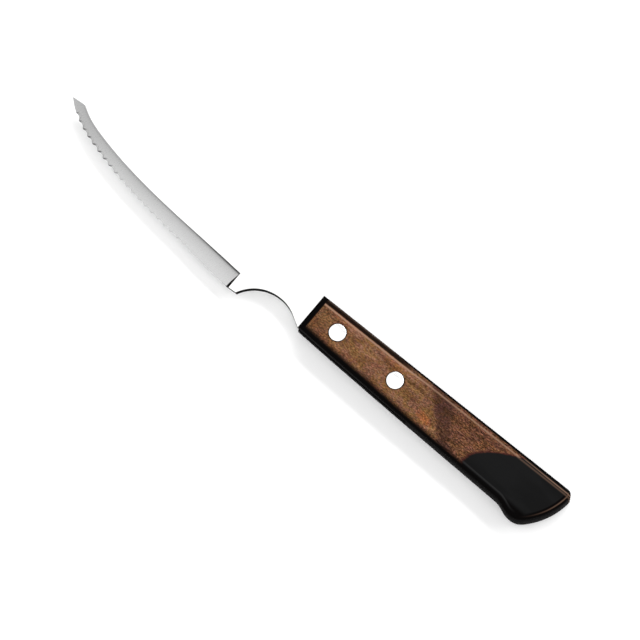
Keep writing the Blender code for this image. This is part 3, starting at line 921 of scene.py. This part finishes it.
    # Painted highlights along the edges of the chamfer, where the stain is also rubbed through
    middle = plus(step(x, *DARK_RIM_END, 1.21, 1.05), times(butt, 0.12))
    strength = step(x, 0.036, 0.050, 0.85, 0.55)
    arris = fade(apart(from_top, middle), 0.06, 0.24, strength)
    arris = times(arris, step(butt, 0.0, 1.0, 1.0, 0.34))
    ridge = apart(from_top, step(x, 0.0860, 0.0990, 0.67, 0.76))
    ridge = times(fade(ridge, 0.04, 0.18, step(x, *BUTT_END, 0.32, 0.48)), butt)
    rear_ridge = fade(apart(rim, 1.55), 0.04, 0.16, 0.30)
    rear_ridge = times(rear_ridge, rear_end, step(y, -0.009, 0.006))
    worn_highlight = times(most(arris, ridge, rear_ridge), behind_front)
    wood = blend(worn_highlight, wood, settings.worn_highlight)

    # Grey sheen along the lower inner edge of the butt's chamfer
    sheen = times(step(rim, 0.10, 0.60), fade(rim, 1.10, 1.35), butt)
    sheen = times(sheen, fade(y, -0.0030, -0.0010, 0.8), fade(x, 0.0880, 0.0960))
    wood = blend(sheen, wood, SHEEN)
    bench.wire(wood, shader["Base Color"])

    bench.wire(step(fibre, 0.3, 0.7, 0.55, 0.45), shader["Roughness"])
    shader["Specular IOR Level"].default_value = 0.003
    height = plus(fibre, times(vessel, -0.5))
    bench.wire(bench.bump(height, 0.00001), shader["Normal"])
    return material


class KNIFE_OT_add_handle(bpy.types.Operator):
    """Adds the one-piece wooden handle with its sanded rim, slot and rivet seats"""

    bl_idname = "knife.add_handle"
    bl_label = "Add Handle"

    def execute(self, context):
        settings = context.scene.knife_handle
        rivets = context.scene.knife_rivets
        handle = self.trace_outline(settings)
        self.raise_rims(handle, settings)
        self.saw_slot(handle, settings)
        self.bore_seats(handle, settings, rivets)
        settle(handle, SMOOTH)
        handle.data.materials.append(treated_wood(settings))
        stands_for(handle, "handle_wood", "handle")
        return {"FINISHED"}

    def trace_outline(self, settings):
        """The handle's outline as one flat face: a slice of the solid, with its holes left out."""
        handle = copy_of_node("handle", "treated_handle")
        edit_all(handle, "VERT")
        slice_height = MIDDLE_HEIGHT + HANDLE_THICKNESS * 0.25
        upwards = (0.0, 0.0, 1.0)
        bpy.ops.mesh.bisect(
            plane_co=(0.0, 0.0, slice_height), plane_no=upwards, clear_inner=True, clear_outer=True
        )
        close_edit()
        centres = [place.xy for place in (FRONT_RIVET, REAR_RIVET)]

        def in_a_hole(vertex):
            return min((vertex.co.xy - centre).length for centre in centres) < HEAD_RADIUS

        pick(handle, "VERT", in_a_hole)
        bpy.ops.mesh.delete(type="VERT")
        bpy.ops.mesh.select_all(action="SELECT")
        bpy.ops.mesh.dissolve_limited(angle_limit=STRAIGHT)
        close_edit()
        self.square_front_corners(handle, settings)
        bpy.ops.mesh.select_all(action="SELECT")
        bpy.ops.mesh.edge_face_add()
        start = MIDDLE_HEIGHT - HANDLE_THICKNESS / 2.0 + rim_depth(settings)
        bpy.ops.transform.translate(value=(0.0, 0.0, start - slice_height))
        close_edit()
        return handle

    def square_front_corners(self, handle, settings):
        """Draws each rounded front corner back to one point, so that the rim can be mitred there."""
        reach = HANDLE_LOW.x + settings.chamfer_width / 2.0
        pick(handle, "VERT", lambda vertex: vertex.co.x < reach)
        bpy.ops.mesh.dissolve_limited(angle_limit=CORNER)
        close_edit()
        pick(handle, "VERT", lambda vertex: vertex.co.x < reach)
        bpy.ops.transform.resize(
            value=(0.0, 1.0, 1.0), center_override=(HANDLE_LOW.x, 0.0, MIDDLE_HEIGHT)
        )

    def raise_rims(self, handle, settings):
        """Extrudes the outline to a block and draws each broad face in over its chamfer."""
        edit_all(handle, "FACE")
        draw_out(HANDLE_THICKNESS - 2.0 * rim_depth(settings))
        close_outwards()
        profile = rim_profile(settings)
        rim = handle.data.attributes.new("rim", "FLOAT", "POINT")
        rim.data.foreach_set("value", [SIDE_VALUE] * len(handle.data.vertices))
        for side in (1.0, -1.0):
            pick(handle, "FACE", lambda face: face.normal.z * side > 0.99)
            for before, after in zip(profile, profile[1:]):
                bpy.ops.mesh.inset(
                    thickness=after[0] - before[0], depth=before[1] - after[1], use_even_offset=True
                )
                close_edit()
                values = handle.data.attributes["rim"].data
                for vertex in handle.data.vertices:
                    if vertex.select:
                        values[vertex.index].value = after[2]
                edit(handle, "FACE")
            close_edit()

    def saw_slot(self, handle, settings):
        """Cuts the tang's slot with a round saw, from the front."""
        half_slot = HALF_STOCK + settings.clearance
        end = BLADE_HIGH.x + settings.slot_end_clearance
        centre = Vector((end - settings.saw_radius, FRONT_RIVET.y, MIDDLE_HEIGHT))
        saw = add_round_cutter(
            settings.saw_radius, MIDDLE_HEIGHT - half_slot, MIDDLE_HEIGHT + half_slot, centre
        )
        cut_with(handle, saw)

    def bore_seats(self, handle, settings, rivets):
        """Bores a barrel hole and two counterbores for each rivet."""
        head = HEAD_RADIUS + settings.clearance
        barrel = rivets.barrel_diameter / 2.0 + settings.clearance
        depth = rivets.head_thickness + settings.clearance
        outside = HANDLE_THICKNESS * 0.1
        low, high = HANDLE_LOW.z - outside, HANDLE_HIGH.z + outside
        for centre in (FRONT_RIVET, REAR_RIVET):
            cut_with(handle, add_round_cutter(barrel, low, high, centre))
            cut_with(handle, add_round_cutter(head, STUD_HIGH.z - depth, high, centre))
            cut_with(handle, add_round_cutter(head, low, SLEEVE_LOW.z + depth, centre))
        core = HANDLE_THICKNESS / 2.0 - rim_depth(settings)
        values = handle.data.attributes["rim"].data
        for vertex in handle.data.vertices:
            if abs(vertex.co.z - MIDDLE_HEIGHT) < core:
                values[vertex.index].value = SIDE_VALUE


# Rivets


def rivet_metal(settings):
    """Bright rivet metal with the fine marks of polishing."""
    colour = settings.metal_colour
    material, bench, shader, place, _ = smudged_metal("rivet_metal", colour, 0.96, 0.003)
    brush(bench, shader, lines_along(bench, place, 4200.0, 18.0, 0.0003))
    return material


class KNIFE_OT_add_rivets(bpy.types.Operator):
    """Adds the two rivets, each a headed stud in a headed sleeve"""

    bl_idname = "knife.add_rivets"
    bl_label = "Add Rivets"

    def execute(self, context):
        settings = context.scene.knife_rivets
        metal = rivet_metal(settings)
        stud = self.turn_stud(settings)
        sleeve = self.turn_sleeve(settings)
        for first, node in ((stud, "stud"), (sleeve, "sleeve")):
            take_up(first)
            bpy.ops.object.duplicate(linked=False)
            second = named_primitive(f"rear_turned_{node}")
            second.location = REAR_RIVET - FRONT_RIVET
            for piece in (first, second):
                settle(piece, CORNER)
                piece.data.materials.append(metal)
            stands_for(first, "rivet_metal", f"front_rivet_{node}")
            stands_for(second, "rivet_metal", f"rear_rivet_{node}")
        return {"FINISHED"}

    def add_disc(self, name, radius, height, settings):
        place = (*FRONT_RIVET.xy, height)
        bpy.ops.mesh.primitive_circle_add(
            vertices=settings.segments, radius=radius, fill_type="NGON", location=place
        )
        disc = named_primitive(name)
        bpy.ops.object.transform_apply(location=True)
        edit_all(disc, "FACE")
        return disc

    def round_rim(self, piece, height, radius, settings):
        """Rounds the outer rim of a head."""

        def on_rim(edge):
            places = [piece.data.vertices[index].co for index in edge.vertices]
            reach = [(place.xy - FRONT_RIVET.xy).length for place in places]
            level = all(abs(place.z - height) < WELD for place in places)
            return level and min(reach) > radius * 0.98

        pick(piece, "EDGE", on_rim)
        bpy.ops.mesh.bevel(offset=settings.edge_break, segments=3, affect="EDGES")
        close_edit()

    def turn_stud(self, settings):
        """A head drawn out into a pin with a chamfered tip."""
        pin = settings.pin_diameter / 2.0
        shank = STUD_HIGH.z - STUD_LOW.z - settings.head_thickness - settings.pin_tip_break
        stud = self.add_disc("front_turned_stud", HEAD_RADIUS, STUD_HIGH.z, settings)
        draw_out(-settings.head_thickness)
        bpy.ops.mesh.inset(thickness=HEAD_RADIUS - pin)
        draw_out(-shank)
        bpy.ops.mesh.inset(thickness=settings.pin_tip_break)
        bpy.ops.transform.translate(value=(0.0, 0.0, -settings.pin_tip_break))
        close_outwards()
        self.round_rim(stud, STUD_HIGH.z, HEAD_RADIUS, settings)
        return stud

    def turn_sleeve(self, settings):
        """A head drawn out into a barrel, which is bored for the pin."""
        head = (SLEEVE_HIGH.x - SLEEVE_LOW.x) / 2.0
        barrel = settings.barrel_diameter / 2.0
        bore = settings.pin_diameter / 2.0 + settings.edge_break
        length = SLEEVE_HIGH.z - SLEEVE_LOW.z - settings.head_thickness
        sleeve = self.add_disc("front_turned_sleeve", head, SLEEVE_LOW.z, settings)
        draw_out(settings.head_thickness)
        bpy.ops.mesh.inset(thickness=head - barrel)
        draw_out(length)
        bpy.ops.mesh.inset(thickness=barrel - bore)
        draw_out(-length)
        close_outwards()
        self.round_rim(sleeve, SLEEVE_LOW.z, head, settings)
        return sleeve


# Stage

# The photograph's frame, and where the origin of the knife's frame falls in it
FRAME_PIXELS = 640
ORIGIN_PIXEL = (304.60, 319.04)
SENSOR_WIDTH = 36.0

# The floor lies a hair under the handle, so that their faces don't share one plane
FLOOR_GAP = 0.00001

# Where the softbox stands, as seen from the knife, and how far off
SOFTBOX_DIRECTION = Vector((0.05, 0.70, 0.71)).normalized()
SOFTBOX_DISTANCE = 1.2

# The sky's light changes between these slants from overhead towards the spine's side
SKY_TURN = (radians(11.0), radians(19.0))


class KNIFE_OT_add_studio(bpy.types.Operator):
    """Adds the pale floor, the soft lights and the camera"""

    bl_idname = "knife.add_studio"
    bl_label = "Add Studio"

    def execute(self, context):
        settings = context.scene.knife_studio
        self.add_floor(settings)
        self.add_lights(context, settings)
        self.add_camera(context, settings)
        context.scene.view_settings.view_transform = "Standard"
        return {"FINISHED"}

    def add_floor(self, settings):
        bpy.ops.mesh.primitive_plane_add(size=settings.floor_size, location=(0.0, 0.0, -FLOOR_GAP))
        floor = named_primitive("studio_floor")
        material, _, shader = new_material("matte_floor")
        shader["Base Color"].default_value = (*settings.floor_colour, 1.0)
        shader["Roughness"].default_value = 0.9
        shader["Specular IOR Level"].default_value = 0.0
        floor.data.materials.append(material)

    def add_lights(self, context, settings):
        """A strip softbox behind the spine, in even light that is weaker on its own side."""
        bpy.ops.object.light_add(type="AREA", location=SOFTBOX_DIRECTION * SOFTBOX_DISTANCE)
        softbox = context.object
        softbox.name = "softbox"
        softbox.data.shape = "RECTANGLE"
        softbox.data.size = settings.softbox_length
        softbox.data.size_y = settings.softbox_width
        softbox.data.energy = settings.softbox_power
        softbox.rotation_euler = SOFTBOX_DIRECTION.to_track_quat("Z", "Y").to_euler()
        world = bpy.data.worlds.new("studio_air")
        context.scene.world = world
        world.use_nodes = True
        bench = NodeBench(world.node_tree)
        _, back, height = bench.split(bench.node("ShaderNodeTexCoord").outputs["Generated"])
        lean = bench.maths("ARCTAN2", back, height)
        light = bench.step(lean, *SKY_TURN, settings.sky_strength, settings.back_strength)
        background = world.node_tree.nodes["Background"]
        background.inputs["Color"].default_value = (1.0, 1.0, 1.0, 1.0)
        bench.wire(light, background.inputs["Strength"])

    def add_camera(self, context, settings):
        azimuth = settings.azimuth
        elevation = settings.elevation
        level = cos(elevation)
        back = Vector((sin(azimuth) * level, -cos(azimuth) * level, sin(elevation)))
        right = Vector((cos(azimuth), sin(azimuth), 0.0))
        up = back.cross(right)
        metres_per_pixel = settings.distance * SENSOR_WIDTH / settings.lens / FRAME_PIXELS
        middle = FRAME_PIXELS / 2.0
        aim = right * (middle - ORIGIN_PIXEL[0]) * metres_per_pixel
        aim += up * (ORIGIN_PIXEL[1] - middle) * metres_per_pixel
        bpy.ops.object.camera_add(location=aim + back * settings.distance)
        camera = context.object
        camera.name = "photo_camera"
        camera.rotation_euler = (-back).to_track_quat("-Z", "Y").to_euler()
        camera.data.sensor_width = SENSOR_WIDTH
        camera.data.lens = settings.lens
        camera.data.clip_start = settings.distance * 0.1
        camera.data.clip_end = settings.distance * 10.0
        context.scene.camera = camera


# Sidebar and registration


# Each group of settings with its class and its operator, in the order of the build
STEPS = (
    ("knife_blade", BladeSettings, KNIFE_OT_add_blade),
    ("knife_handle", HandleSettings, KNIFE_OT_add_handle),
    ("knife_rivets", RivetSettings, KNIFE_OT_add_rivets),
    ("knife_studio", StudioSettings, KNIFE_OT_add_studio),
)


class KNIFE_PT_sidebar(bpy.types.Panel):
    """Lists the knife's settings with the operator that each belongs to"""

    bl_idname = "KNIFE_PT_sidebar"
    bl_label = "Steak Knife"
    bl_space_type = "VIEW_3D"
    bl_region_type = "UI"
    bl_category = "Steak Knife"

    def draw(self, context):
        for name, _, operator in STEPS:
            box = self.layout.box()
            settings = getattr(context.scene, name)
            for field in settings.__annotations__:
                box.prop(settings, field)
            box.operator(operator.bl_idname)


CLASSES = [item for step in STEPS for item in step[1:]] + [KNIFE_PT_sidebar]


def register():
    for item in CLASSES:
        bpy.utils.register_class(item)
    for name, group, _ in STEPS:
        setattr(bpy.types.Scene, name, PointerProperty(type=group))


def unregister():
    for name, _, _ in STEPS:
        delattr(bpy.types.Scene, name)
    for item in reversed(CLASSES):
        bpy.utils.unregister_class(item)


def main():
    register()
    bpy.ops.knife.add_blade()
    bpy.ops.knife.add_handle()
    bpy.ops.knife.add_rivets()
    bpy.ops.knife.add_studio()


if __name__ == "__main__":
    main()
